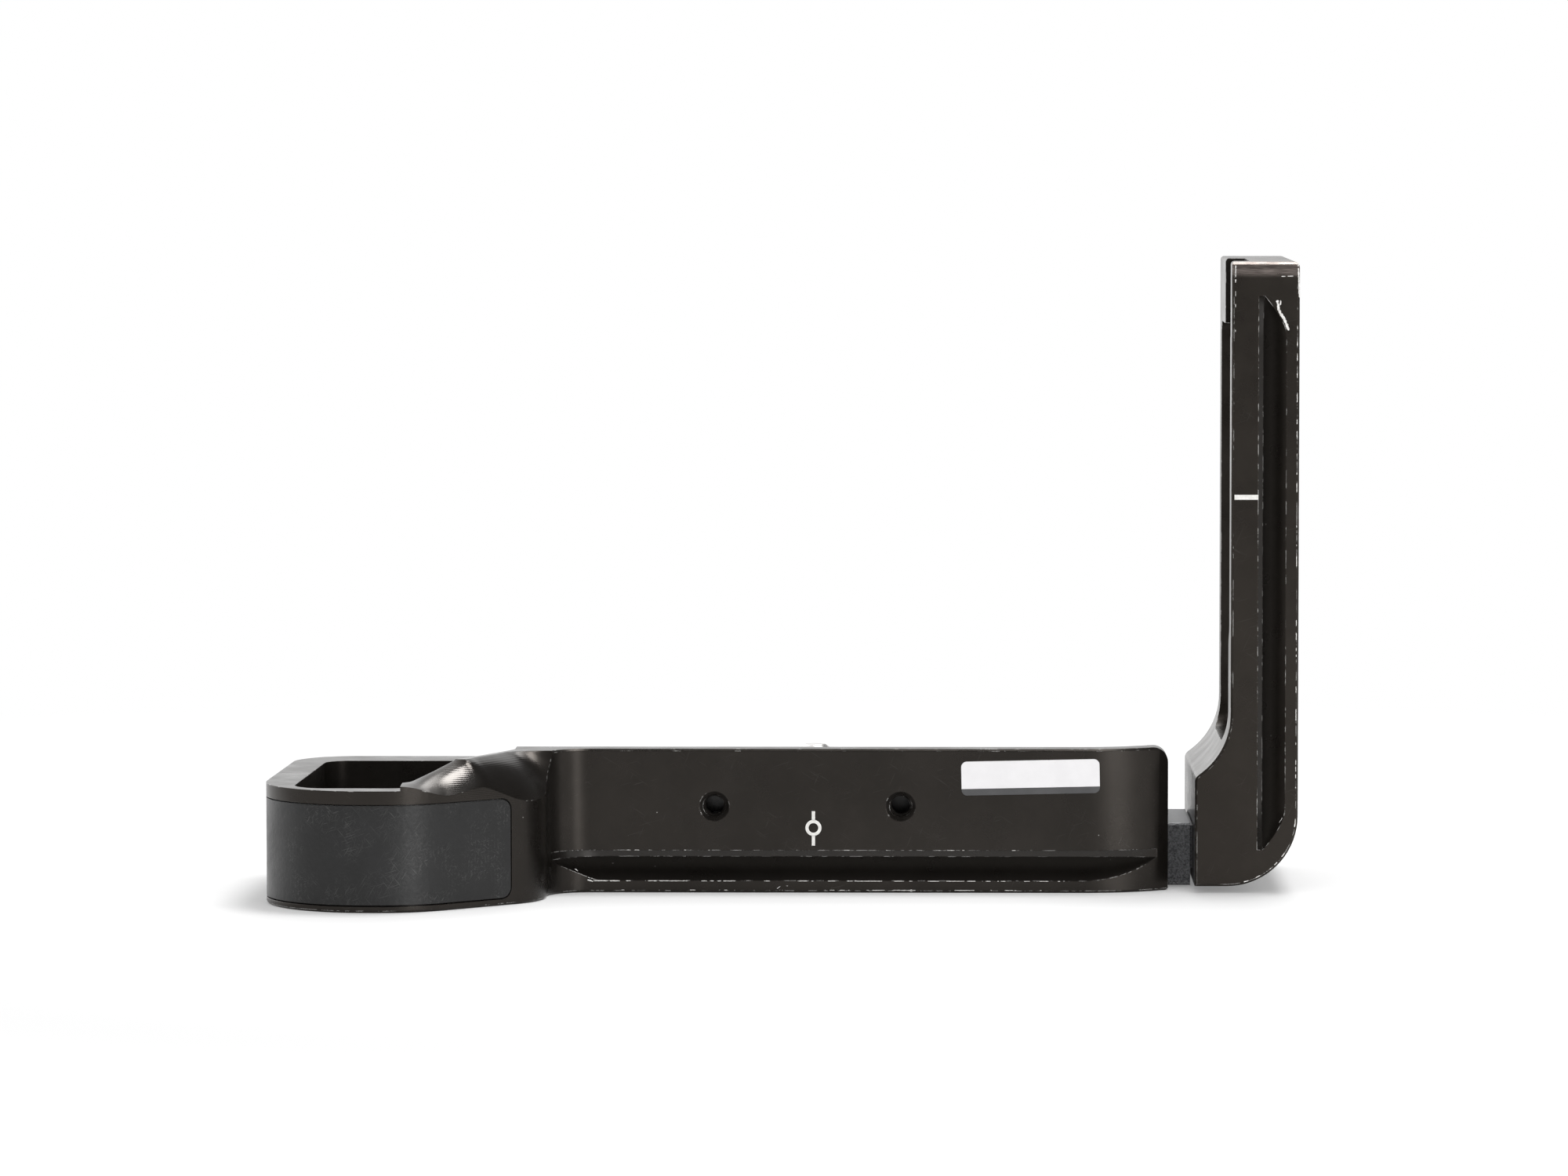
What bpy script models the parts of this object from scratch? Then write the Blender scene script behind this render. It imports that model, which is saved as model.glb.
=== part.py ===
"""Camera L-bracket: a base plate with a grip loop, and an upright on a sliding bar.

The frame is +X to the right and +Z up, seen from the lens side, and lengths are in metres.
The origin is in the middle of the bracket's footprint, on the surface that it stands on.
The bar is shown drawn out by the small gap that the photograph shows.
"""
import math

import bmesh
import bpy
from mathutils import Matrix, Vector

# Overall sizes
overall_length = 0.1467
plate_depth = 0.038
loop_reach = 0.0261
seat_height = 0.0171
fence_rise = 0.0036

# Clearances and cuts
fit_gap = 0.0003
seam_gap = 0.0002
edge_break = 0.0003
overrun = 0.0015
arc_step = math.radians(5.0)
turned_sides = 48

# Base block
end_round_radius = 0.0194
end_round_setback = 0.0043
rear_corner_radius = 0.005
rear_valley_radius = 0.005
fence_thickness = 0.0035
fence_end_radius = 0.0023

# Grip loop. Its width is a share of the run from the left end to the lens axis,
# and the other shares of its plan are of that width.
loop_width_share = 0.5103
flank_front_share = 0.557
loop_front_corner_share = 0.38
flank_front_corner_share = 0.354
loop_back_corner_share = 0.228
opening_front_corner_share = 0.12
opening_flank_corner_share = 0.152
opening_flank_chamfer_share = 0.215
opening_back_corner_share = 0.089
loop_taper = 0.0016
loop_back_reach = 0.0270
flank_side_ahead = 0.0117
flank_side_tangent_share = 0.82
valley_radius = 0.006
front_wall = 0.0044
side_wall = 0.0048
back_wall = 0.0076

# Scoop that blends the loop's rim into the fence. Its place is a share of the loop's width.
# Along its own length its foot and crest heights are shares of the fence's height,
# and its reach into the wall is a share of the way to the opening.
scoop_place_share = 0.508
scoop_end_ahead = 0.0028
scoop_bulge_share = 0.2
scoop_sections = 48
scoop_across = 8
scoop_foot_place_shares = (0.0, 0.07, 0.11, 0.155, 0.20, 0.25, 0.29, 0.33, 0.39, 0.435, 0.465,
                           0.518, 0.608, 0.66, 0.72, 0.78, 0.826, 0.87, 0.91, 0.955, 1.0)
scoop_foot_shares = (0.862, 0.854, 0.842, 0.816, 0.796, 0.781, 0.783, 0.795, 0.812, 0.821, 0.811,
                     0.780, 0.725, 0.706, 0.701, 0.707, 0.722, 0.755, 0.81, 0.90, 1.01)
scoop_crest_place_shares = (0.0, 0.07, 0.119, 0.267, 0.40, 0.435, 1.0)
scoop_crest_shares = (0.862, 0.862, 0.867, 0.926, 0.985, 1.01, 1.01)
scoop_reach_place_shares = (0.0, 0.40, 0.438, 0.53, 1.0)
scoop_reach_shares = (0.875, 0.875, 0.84, 1.0, 1.0)

# Grip pad, a rubber inlay round the outside of the loop
pad_thickness = 0.0009
pad_low = 0.0011
pad_high = 0.0150
pad_corner_radius = 0.0015
pad_corner_steps = 6
pad_pitch_share = 0.7
pad_flank_setback = 0.0046
pad_left_behind = 0.0080

# Dovetail of the base and of the upright, cut by one cutter
groove_depth = 0.00315
groove_cutter_radius = 0.0072
base_lip = 0.00175
base_groove_top = 0.0061
base_groove_setback = 0.00765
upright_lip = 0.00185
upright_groove_top = 0.0058
upright_groove_low_margin = 0.0112
upright_groove_high_margin = 0.0108

# Threaded holes in the front face
tapped_radius = 0.00165
tapped_mouth_radius = 0.00215
tapped_depth = 0.008
tapped_height = 0.01245
tapped_left_from_axis = 0.0142
tapped_right_from_axis = 0.0125

# Camera screw, its washer and its retaining ring
screw_radius = 0.003175
screw_neck_radius = 0.00245
screw_head_radius = 0.0062
screw_head_height = 0.0034
screw_length = 0.0179
screw_neck_length = 0.0062
screw_tip_radius = 0.0015
screw_travel = 0.0024
screw_key_width = 0.004
screw_key_depth = 0.0022
washer_thickness = 0.0006
washer_outer_radius = 0.0060
ring_low = 0.0005
ring_thickness = 0.001
ring_inner_radius = 0.0052
ring_groove_depth = 0.0007

# Sliding bar and its clamp screws
bar_low = 0.0002
bar_height = 0.0090
bar_width = 0.0206
bar_end_wall = 0.0033
bar_travel_in = 0.0034
bar_travel_out = 0.012
bar_edge_chamfer = 0.0003
channel_end_gap = 0.0007
channel_wall = 0.0015
clamp_radius = 0.002
clamp_head_radius = 0.0035
clamp_head_height = 0.003
clamp_length = 0.0111
clamp_key_width = 0.003
clamp_key_depth = 0.0018
clamp_washer_thickness = 0.0006
clamp_from_end = 0.0077
clamp_spacing = 0.011
slot_web = 0.004

# Joint of the bar with the upright's foot
tenon_length = 0.0035
tenon_side_step = 0.001
tenon_top_step = 0.0004
tenon_low = 0.0026
joint_screw_radius = 0.0015
joint_head_radius = 0.00275
joint_head_height = 0.003
joint_screw_reach = 0.0067
joint_seat_wall = 0.0027
joint_screw_spacing = 0.012
joint_key_width = 0.0025
joint_key_depth = 0.0015

# Upright
upright_low = 0.001
upright_high = 0.0904
upright_thickness = 0.00965
foot_length = 0.0147
foot_corner_height = 0.0166
foot_corner_radius = 0.00115
foot_valley_height = 0.02042
foot_valley_radius = 0.0104
outer_corner_radius = 0.0101
top_outer_radius = 0.0009
top_inner_radius = 0.0005
top_edge_radius = 0.0012
window_low = 0.0212
window_top_margin = 0.0094
window_front = 0.0051
window_low_front = 0.0076
window_step_low = 0.0355
window_step_high = 0.0375
window_step_radius = 0.0018
window_back = 0.0050
window_back_radius = 0.0050
window_radius = 0.0015
lug_notch_front = 0.0043
lug_notch_back = 0.0205
lug_notch_depth = 0.0028

# Places worked out from the sizes. Along the bracket they follow each other from the right end.
left_x = -overall_length / 2
right_x = overall_length / 2
front_y = (loop_reach - plate_depth) / 2
rear_y = front_y + plate_depth
middle_y = front_y + plate_depth / 2
loop_front_y = front_y - loop_reach
fence_height = seat_height + fence_rise
foot_x = right_x - foot_length
inner_x = right_x - upright_thickness
block_end_x = foot_x - bar_travel_in - fit_gap
clamp_right_x = block_end_x - clamp_from_end
clamp_left_x = clamp_right_x - clamp_spacing
slot_start_x = clamp_left_x - bar_travel_out - fit_gap
slot_end_x = clamp_right_x + bar_travel_in + fit_gap
bar_left_x = slot_start_x - clamp_head_radius - fit_gap - bar_end_wall
channel_left_x = bar_left_x - bar_travel_in - channel_end_gap
axis_x = channel_left_x - channel_wall - screw_head_radius - fit_gap - ring_groove_depth
loop_width = (axis_x - left_x) * loop_width_share
block_left_x = left_x + loop_width
scoop_x = left_x + loop_width * scoop_place_share
flank_front_x = left_x + loop_width * flank_front_share
groove_start_x = block_left_x + base_groove_setback
groove_low_z = upright_low + upright_groove_low_margin
groove_high_z = upright_high - upright_groove_high_margin
window_high = upright_high - window_top_margin


def make_collection(name):
    """Make a collection of the scene."""
    collection = bpy.data.collections.new(name)
    bpy.context.scene.collection.children.link(collection)
    return collection


def make_material(name, color, roughness, metallic):
    """Make the finish of a piece."""
    material = bpy.data.materials.new(name)
    material.use_nodes = True
    shader = material.node_tree.nodes["Principled BSDF"]
    shader.inputs["Base Color"].default_value = (*color, 1.0)
    shader.inputs["Roughness"].default_value = roughness
    shader.inputs["Metallic"].default_value = metallic
    material.diffuse_color = (*color, 1.0)
    return material


def loft(name, rings, collection, joined=False):
    """Make a solid through closed rings of points, capped at both ends unless its ends are joined."""
    mesh = bmesh.new()
    rows = [[mesh.verts.new(point) for point in ring] for ring in rings]
    pairs = list(zip(rows, rows[1:]))
    if joined:
        pairs.append((rows[-1], rows[0]))
    else:
        mesh.faces.new(rows[0])
        mesh.faces.new(rows[-1])
    for lower, upper in pairs:
        for index, corner in enumerate(lower):
            after = (index + 1) % len(lower)
            mesh.faces.new((corner, lower[after], upper[after], upper[index]))
    bmesh.ops.recalc_face_normals(mesh, faces=mesh.faces)
    data = bpy.data.meshes.new(name)
    mesh.to_mesh(data)
    mesh.free()
    item = bpy.data.objects.new(name, data)
    collection.objects.link(item)
    return item


def placed(outline, level, axis):
    """Give an outline's points at one level along an axis. The outline holds the other two in order."""
    orders = {"X": (2, 0, 1), "Y": (0, 2, 1), "Z": (0, 1, 2)}
    return [Vector([(*point, level)[index] for index in orders[axis]]) for point in outline]


def prism(name, outline, low, high, collection, axis="Z"):
    """Make a straight solid of an outline, along one axis."""
    return loft(name, [placed(outline, low, axis), placed(outline, high, axis)], collection)


def eased_prism(name, outline, low, high, collection, axis):
    """Make a straight solid of an outline, with the edges of both end faces broken by a small chamfer."""
    small = []
    for index, point in enumerate(outline):
        after = outline[(index + 1) % len(outline)]
        small.append(inset(outline[index - 1], point, after, edge_break, edge_break))
    rings = [
        placed(small, low, axis),
        placed(outline, low + edge_break, axis),
        placed(outline, high - edge_break, axis),
        placed(small, high, axis),
    ]
    return loft(name, rings, collection)


def turned(name, profile, center, collection, axis="Z", joined=False, sides=turned_sides):
    """Make a round solid from (radius, height) pairs along an axis through the center."""
    turns = {
        "X": Matrix.Rotation(math.pi / 2, 4, "Y"),
        "Y": Matrix.Rotation(-math.pi / 2, 4, "X"),
        "Z": Matrix.Identity(4),
    }
    rings = []
    for radius, height in profile:
        ring = []
        for index in range(sides):
            angle = 2 * math.pi * index / sides
            point = Vector((radius * math.cos(angle), radius * math.sin(angle), height))
            ring.append(Vector(center) + turns[axis] @ point)
        rings.append(ring)
    return loft(name, rings, collection, joined)


def hexagon(center, width):
    """Give the outline of a hexagon that is one width across its flats."""
    reach = width / math.sqrt(3)
    angles = [math.pi * index / 3 for index in range(6)]
    return [(center[0] + reach * math.cos(angle), center[1] + reach * math.sin(angle)) for angle in angles]


def arc(center, radius, start, end):
    """Give the points of an arc, both ends included."""
    steps = max(2, math.ceil(abs(end - start) / arc_step))
    angles = [start + (end - start) * index / steps for index in range(steps + 1)]
    return [(center[0] + radius * math.cos(angle), center[1] + radius * math.sin(angle)) for angle in angles]


def rounded(corners, closed=True):
    """Give an outline with each (x, y, radius) corner rounded by its radius."""
    points = []
    count = len(corners)
    for index, (x, y, radius) in enumerate(corners):
        at_end = not closed and index in (0, count - 1)
        if radius == 0 or at_end:
            points.append((x, y))
            continue
        here = Vector((x, y))
        before = (Vector(corners[index - 1][:2]) - here).normalized()
        after = (Vector(corners[(index + 1) % count][:2]) - here).normalized()
        half = before.angle(after) / 2
        center = here + (before + after).normalized() * radius / math.sin(half)
        first = here + before * radius / math.tan(half) - center
        last = here + after * radius / math.tan(half) - center
        start = math.atan2(first.y, first.x)
        sweep = (math.atan2(last.y, last.x) - start + math.pi) % (2 * math.pi) - math.pi
        points.extend(arc(center, radius, start, start + sweep))
    return points


def inset(before, here, after, wall_in, wall_out):
    """Give the corner that lies a wall inside two sides of an outline that runs counter-clockwise."""
    here = Vector(here)
    first = (here - Vector(before)).normalized()
    second = (Vector(after) - here).normalized()
    start = here + Vector((-first.y, first.x)) * wall_in
    other = here + Vector((-second.y, second.x)) * wall_out
    gap = other - start
    turn = first.x * second.y - first.y * second.x
    along = (gap.x * second.y - gap.y * second.x) / turn
    return start + first * along


def place_on(path, length):
    """Give the place at a length along a path, and the outward direction there."""
    points = [Vector(point) for point in path]
    sides = []
    for first, second in zip(points, points[1:]):
        run = second - first
        sides.append(Vector((run.y, -run.x)).normalized())
    ends = [(one + other).normalized() for one, other in zip([sides[0], *sides], [*sides, sides[-1]])]
    passed = 0.0
    for index, (first, second) in enumerate(zip(points, points[1:])):
        run = (second - first).length
        share = (length - passed) / run
        if share <= 1:
            break
        passed += run
    return first.lerp(second, share), ends[index].lerp(ends[index + 1], share).normalized()


def length_where(path, index, value, rising):
    """Give the length along a path where one coordinate first passes a value, rising or falling."""
    sign = 1 if rising else -1
    passed = 0.0
    for first, second in zip(path, path[1:]):
        before = (first[index] - value) * sign
        after = (second[index] - value) * sign
        run = math.dist(first, second)
        if before <= 0 < after:
            return passed + run * before / (before - after)
        passed += run
    return passed


def between(place, places, values):
    """Read a value between the places of a table."""
    for index in range(len(places) - 1):
        if place <= places[index + 1]:
            share = (place - places[index]) / (places[index + 1] - places[index])
            return values[index] + (values[index + 1] - values[index]) * share
    return values[-1]


def cut(item, tool, join="DIFFERENCE"):
    """Cut one solid with another."""
    modifier = item.modifiers.new(tool.name, "BOOLEAN")
    modifier.operation = join
    modifier.solver = "EXACT"
    modifier.object = tool


def loop_corners():
    """Give the corners of the loop's outer wall, from the back of the block round to its front."""
    back_y = front_y + loop_back_reach
    flank_y = front_y - flank_side_ahead
    front_radius = loop_width * loop_front_corner_share
    lean = loop_taper * front_radius / (loop_reach + loop_back_reach - front_radius)
    turn = math.atan2(block_left_x - flank_front_x, flank_y - loop_front_y)
    tangent = (flank_side_ahead - valley_radius) * flank_side_tangent_share
    return [
        (block_left_x, back_y, rear_valley_radius),
        (left_x + loop_taper, back_y, loop_width * loop_back_corner_share),
        (left_x - lean, loop_front_y, front_radius),
        (flank_front_x, loop_front_y, loop_width * flank_front_corner_share),
        (block_left_x, flank_y, tangent / math.tan(turn / 2)),
        (block_left_x, front_y, valley_radius),
    ]


def end_sweep():
    """Give the angle and middle of the large rounds at the right end of the block."""
    sweep = math.acos((end_round_radius - end_round_setback) / end_round_radius)
    return sweep, block_end_x - end_round_radius * math.sin(sweep)


def base_outline():
    """Give the outline of the base plate from above, counter-clockwise."""
    sweep, middle_x = end_sweep()
    front = arc((middle_x, front_y + end_round_radius), end_round_radius,
                -math.pi / 2, -math.pi / 2 + sweep)
    rear = arc((middle_x, rear_y - end_round_radius), end_round_radius,
               math.pi / 2 - sweep, math.pi / 2)
    corners = [(*point, 0) for point in front + rear]
    corners.append((block_left_x, rear_y, rear_corner_radius))
    corners.extend(loop_corners())
    return rounded(corners)


def seat_outline():
    """Give the outline of the camera's seat. It leaves the fence along the front and round the end."""
    sweep, middle_x = end_sweep()
    inner_radius = end_round_radius - fence_thickness
    fence_y = front_y + fence_thickness
    round_end = arc((middle_x, front_y + end_round_radius), inner_radius, -math.pi / 2, -math.pi / 2 + sweep)
    past_x = block_end_x + overrun
    rise = (past_x - round_end[-1][0]) * math.tan(sweep)
    return [
        (flank_front_x, fence_y),
        *round_end,
        (past_x, round_end[-1][1] + rise),
        (past_x, rear_y + overrun),
        (left_x - overrun, rear_y + overrun),
        (left_x - overrun, loop_front_y - overrun),
        (scoop_x, loop_front_y - overrun),
        (scoop_x, loop_front_y + front_wall + overrun),
    ]


def wall_path():
    """Give the outer face of the loop's wall from above, from its back round to the block."""
    corners = loop_corners()
    return rounded([*corners, (axis_x, front_y, 0)], closed=False)


def opening_corners():
    """Give the corners of the loop's opening, a wall inside the outer face and thicker at the flank."""
    outer = [Vector(corner[:2]) for corner in loop_corners()]
    rear_side = outer[1]
    front_left = outer[2]
    front_right = outer[3]
    flank = outer[4]
    valley = outer[5]
    inner_back = inset(outer[0], rear_side, front_left, back_wall, side_wall)
    inner_front = inset(rear_side, front_left, front_right, side_wall, front_wall)
    inner_right = inset(front_left, front_right, flank, front_wall, side_wall)
    inner_flank = inset(front_right, flank, valley, side_wall, side_wall)
    chamfer = loop_width * opening_flank_chamfer_share
    ahead = inner_flank + (inner_right - inner_flank).normalized() * chamfer
    front_radius = loop_width * opening_front_corner_share
    flank_radius = loop_width * opening_flank_corner_share
    back_radius = loop_width * opening_back_corner_share
    return [
        (*inner_back, back_radius),
        (*inner_front, front_radius),
        (*inner_right, flank_radius),
        (*ahead, flank_radius),
        (inner_flank.x, inner_flank.y + chamfer, flank_radius),
        (inner_flank.x, inner_back.y, back_radius),
    ]


def opening_path():
    """Give the inner face of the loop's wall from above, along its front and flank."""
    corners = opening_corners()
    return rounded(corners[1:], closed=False)


def wall_strip(name, start, end, outer, inner, low, high, corner, collection):
    """Make a strip that follows the loop's wall, between two lengths, with rounded ends."""
    path = wall_path()
    count = math.ceil((end - start) / (corner * pad_pitch_share))
    stops = []
    for index in range(pad_corner_steps + 1):
        angle = math.pi / 2 * index / pad_corner_steps
        stops.append((corner * (1 - math.sin(angle)), corner * (1 - math.cos(angle))))
    lead = [(start + along, back) for along, back in reversed(stops)]
    tail = [(end - along, back) for along, back in stops]
    reach = end - start - 2 * corner
    middle = [(start + corner + reach * index / count, 0.0) for index in range(1, count)]
    rings = []
    for length, back in lead + middle + tail:
        place, side = place_on(path, length)
        outside = place + side * outer
        inside = place - side * inner
        rings.append([
            (*outside, low + back),
            (*outside, high - back),
            (*inside, high - back),
            (*inside, low + back),
        ])
    return loft(name, rings, collection)


def groove_tools(name, along, low, high, lip, top, collection, ends):
    """Make the cutters of one dovetail groove: its straight run and the round ends of the cut.

    along is the axis of the groove, low and high are the ends of its run,
    and ends are the centers of its round ends.
    """
    depth = groove_depth
    radius = groove_cutter_radius
    tools = []
    for side, face_y in ((1, front_y), (-1, rear_y)):
        section = [
            (-overrun, lip - overrun),
            (depth, lip + depth),
            (depth, top),
            (-overrun, top),
        ]
        label = f"{name}_{'front' if side > 0 else 'rear'}"
        if along == "X":
            outline = [(face_y + side * into, up) for into, up in section]
            tools.append(prism(f"{label}_run", outline, low, high, collection, "X"))
        else:
            outline = [(right_x - up, face_y + side * into) for into, up in section]
            tools.append(prism(f"{label}_run", outline, low, high, collection, "Z"))
        center_y = face_y + side * (depth - radius)
        reach = radius - depth - overrun
        profile = [(reach, lip - overrun), (radius, lip + depth), (radius, top)]
        for number, place in enumerate(ends):
            if along == "X":
                center = (place, center_y, 0)
                tools.append(turned(f"{label}_end_{number}", profile, center, collection, "Z"))
            else:
                center = (right_x, center_y, place)
                flipped = [(width, -up) for width, up in profile]
                tools.append(turned(f"{label}_end_{number}", flipped, center, collection, "X"))
    return tools


def edge_round(name, corner, radius, direction, low, high, axis, collection):
    """Make the cutter that rounds one straight edge. direction points out of the solid at the edge."""
    middle = (corner[0] - direction[0] * radius, corner[1] - direction[1] * radius)
    start = math.atan2(0, direction[0])
    end = math.atan2(direction[1], 0)
    turn = (end - start + math.pi) % (2 * math.pi) - math.pi
    outline = arc(middle, radius, start, start + turn)
    far = (corner[0] + direction[0] * overrun, corner[1] + direction[1] * overrun)
    outline.append((middle[0], far[1]))
    outline.append(far)
    outline.append((far[0], middle[1]))
    return prism(name, outline, low, high, collection, axis)


def scoop_tool(collection):
    """Make the cutter of the scoop that rounds the flank of the loop over, up to the fence."""
    outer = wall_path()
    inner = opening_path()
    end_y = front_y - scoop_end_ahead
    spans = []
    for path in (outer, inner):
        spans.append((length_where(path, 0, scoop_x, True) - overrun, length_where(path, 1, end_y, True)))
    top = fence_height + overrun
    rings = []
    for index in range(scoop_sections + 1):
        share = index / scoop_sections
        place, far = [place_on(path, start + (end - start) * share)[0]
                      for path, (start, end) in zip((outer, inner), spans)]
        foot = between(share, scoop_foot_place_shares, scoop_foot_shares) * fence_height
        crest = between(share, scoop_crest_place_shares, scoop_crest_shares) * fence_height
        reach = (far - place) * between(share, scoop_reach_place_shares, scoop_reach_shares)
        past = (far - place).normalized() * overrun
        first = -overrun / reach.length
        ring = []
        for step in range(scoop_across + 1):
            inward = first + (1 - first) * step / scoop_across
            rise = inward + scoop_bulge_share * (1 - (2 * inward - 1) ** 2)
            ring.append((*(place + reach * inward), foot + (crest - foot) * rise))
        ring.append((*(far + past), crest))
        ring.append((*(far + past), top))
        ring.append((*(place - past), top))
        rings.append(ring)
    return loft("scoop", rings, collection)


def build_base(parts, tools, finish):
    """Make the base plate: block, fence, grip loop and all that is cut in them."""
    base = eased_prism("base_plate", base_outline(), 0, fence_height, parts, "Z")
    base.data.materials.append(finish)

    top = fence_height + overrun
    cut(base, prism("loop_opening", rounded(opening_corners()), -overrun, top, tools))
    cut(base, prism("seat", seat_outline(), seat_height, top, tools))
    cut(base, scoop_tool(tools))
    cut(base, edge_round("fence_end", (block_end_x, fence_height), fence_end_radius, (1, 1),
                         front_y - overrun, rear_y + overrun, "Y", tools))

    for tool in groove_tools("base_groove", "X", groove_start_x, block_end_x + overrun, base_lip,
                             base_groove_top, tools, (groove_start_x,)):
        cut(base, tool)

    bar_top = bar_low + bar_height
    half = bar_width / 2 + fit_gap
    channel = [
        (channel_left_x, middle_y - half),
        (block_end_x + overrun, middle_y - half),
        (block_end_x + overrun, middle_y + half),
        (channel_left_x, middle_y + half),
    ]
    cut(base, prism("bar_channel", channel, -overrun, bar_top + fit_gap, tools))
    thread_top = clamp_seat() - fit_gap - clamp_washer_thickness + clamp_length
    for side, place in (("left", clamp_left_x), ("right", clamp_right_x)):
        width = clamp_radius + fit_gap
        profile = [(width, bar_top), (width, thread_top)]
        cut(base, turned(f"clamp_hole_{side}", profile, (place, middle_y, 0), tools))

    wide = screw_head_radius + fit_gap
    narrow = screw_radius + fit_gap
    ring_wide = wide + ring_groove_depth
    ring_top = ring_low + ring_thickness
    ledge = screw_low() + screw_head_height + washer_thickness + 2 * fit_gap + screw_travel
    profile = [
        (wide, -overrun),
        (wide, ring_low - fit_gap),
        (ring_wide, ring_low - fit_gap),
        (ring_wide, ring_top + fit_gap),
        (wide, ring_top + fit_gap),
        (wide, ledge),
        (narrow, ledge),
        (narrow, seat_height + overrun),
    ]
    cut(base, turned("camera_screw_bore", profile, (axis_x, middle_y, 0), tools))

    flare = tapped_mouth_radius - tapped_radius
    profile = [
        (tapped_mouth_radius + overrun, -overrun),
        (tapped_radius, flare),
        (tapped_radius, tapped_depth),
    ]
    for side, place in (("left", -tapped_left_from_axis), ("right", tapped_right_from_axis)):
        center = (axis_x + place, front_y, tapped_height)
        cut(base, turned(f"tapped_hole_{side}", profile, center, tools, "Y"))

    start, end = pad_span()
    recess = wall_strip("pad_recess", start - seam_gap, end + seam_gap, overrun,
                        pad_thickness + seam_gap, pad_low - seam_gap, pad_high + seam_gap,
                        pad_corner_radius + seam_gap, tools)
    cut(base, recess)
    return base


def pad_span():
    """Give the two ends of the grip pad as lengths along the loop's wall."""
    path = wall_path()
    start = length_where(path, 1, front_y + pad_left_behind, False)
    end = length_where(path, 0, block_left_x - pad_flank_setback, True)
    return start, end


def screw_low():
    """Give the height of the underside of the camera screw's head at rest on its ring."""
    return ring_low + ring_thickness + fit_gap


def clamp_seat():
    """Give the height of the ledge in the bar that the clamp washers press on."""
    return bar_low + bar_height - slot_web


def socket(item, center, width, low, high, axis, tools):
    """Cut the hexagon socket of a screw."""
    cut(item, prism(f"{item.name}_socket", hexagon(center, width), low, high, tools, axis))


def build_camera_screw(parts, tools, steel, nylon):
    """Make the captive camera screw, the washer under its head and the ring that keeps it in."""
    low = screw_low()
    head_top = low + screw_head_height
    tip = low + screw_length
    slope = screw_radius - screw_tip_radius
    profile = [
        (screw_head_radius - fit_gap, low),
        (screw_head_radius, low + fit_gap),
        (screw_head_radius, head_top),
        (screw_neck_radius, head_top),
        (screw_neck_radius, head_top + screw_neck_length),
        (screw_radius, head_top + screw_neck_length + screw_radius - screw_neck_radius),
        (screw_radius, tip - slope),
        (screw_tip_radius, tip),
    ]
    center = (axis_x, middle_y)
    screw = turned("camera_screw", profile, (0, 0, 0), parts)
    screw.location = (*center, 0)
    screw.data.materials.append(steel)
    socket(screw, center, screw_key_width, low - overrun, low + screw_key_depth, "Z", tools)

    base = head_top + fit_gap
    inner = screw_radius + fit_gap
    profile = [
        (inner, base),
        (washer_outer_radius, base),
        (washer_outer_radius, base + washer_thickness),
        (inner, base + washer_thickness),
    ]
    washer = turned("camera_screw_washer", profile, (0, 0, 0), parts, joined=True)
    washer.location = (*center, 0)
    washer.data.materials.append(nylon)

    outer = screw_head_radius + ring_groove_depth
    profile = [
        (ring_inner_radius, ring_low),
        (outer, ring_low),
        (outer, ring_low + ring_thickness),
        (ring_inner_radius, ring_low + ring_thickness),
    ]
    ring = turned("camera_screw_ring", profile, (*center, 0), parts, joined=True)
    ring.data.materials.append(steel)


def build_clamps(parts, tools, steel):
    """Make the two clamp screws with their washers."""
    seat = clamp_seat() - fit_gap
    for side, place in (("left", clamp_left_x), ("right", clamp_right_x)):
        center = (place, middle_y)
        inner = clamp_radius + fit_gap
        profile = [
            (inner, seat - clamp_washer_thickness),
            (clamp_head_radius, seat - clamp_washer_thickness),
            (clamp_head_radius, seat),
            (inner, seat),
        ]
        washer = turned(f"clamp_washer_{side}", profile, (0, 0, 0), parts, joined=True)
        washer.location = (*center, 0)
        washer.data.materials.append(steel)

        head_top = seat - clamp_washer_thickness - fit_gap
        low = head_top - clamp_head_height
        end = head_top + clamp_length
        profile = [
            (clamp_head_radius - fit_gap, low),
            (clamp_head_radius, low + fit_gap),
            (clamp_head_radius, head_top),
            (clamp_radius, head_top),
            (clamp_radius, end - fit_gap),
            (clamp_radius - fit_gap, end),
        ]
        screw = turned(f"clamp_screw_{side}", profile, (0, 0, 0), parts)
        screw.location = (*center, 0)
        screw.data.materials.append(steel)
        socket(screw, center, clamp_key_width, low - overrun, low + clamp_key_depth, "Z", tools)


def slot_outline(start_x, end_x, radius):
    """Give the outline of a straight slot with round ends, between two centers."""
    left = arc((start_x, middle_y), radius, math.pi / 2, 3 * math.pi / 2)
    right = arc((end_x, middle_y), radius, -math.pi / 2, math.pi / 2)
    return left + right


def joint_places():
    """Give the two screws that join the bar and the foot: their names and places across the bar."""
    half = joint_screw_spacing / 2
    return (("front", middle_y - half), ("rear", middle_y + half))


def joint_height():
    """Give the height of the joint screws, in the middle of the tenon."""
    return (tenon_low + bar_low + bar_height - tenon_top_step) / 2


def joint_seat_x():
    """Give the place where the joint screws' heads seat in the foot."""
    return foot_x + tenon_length + joint_seat_wall


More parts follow.
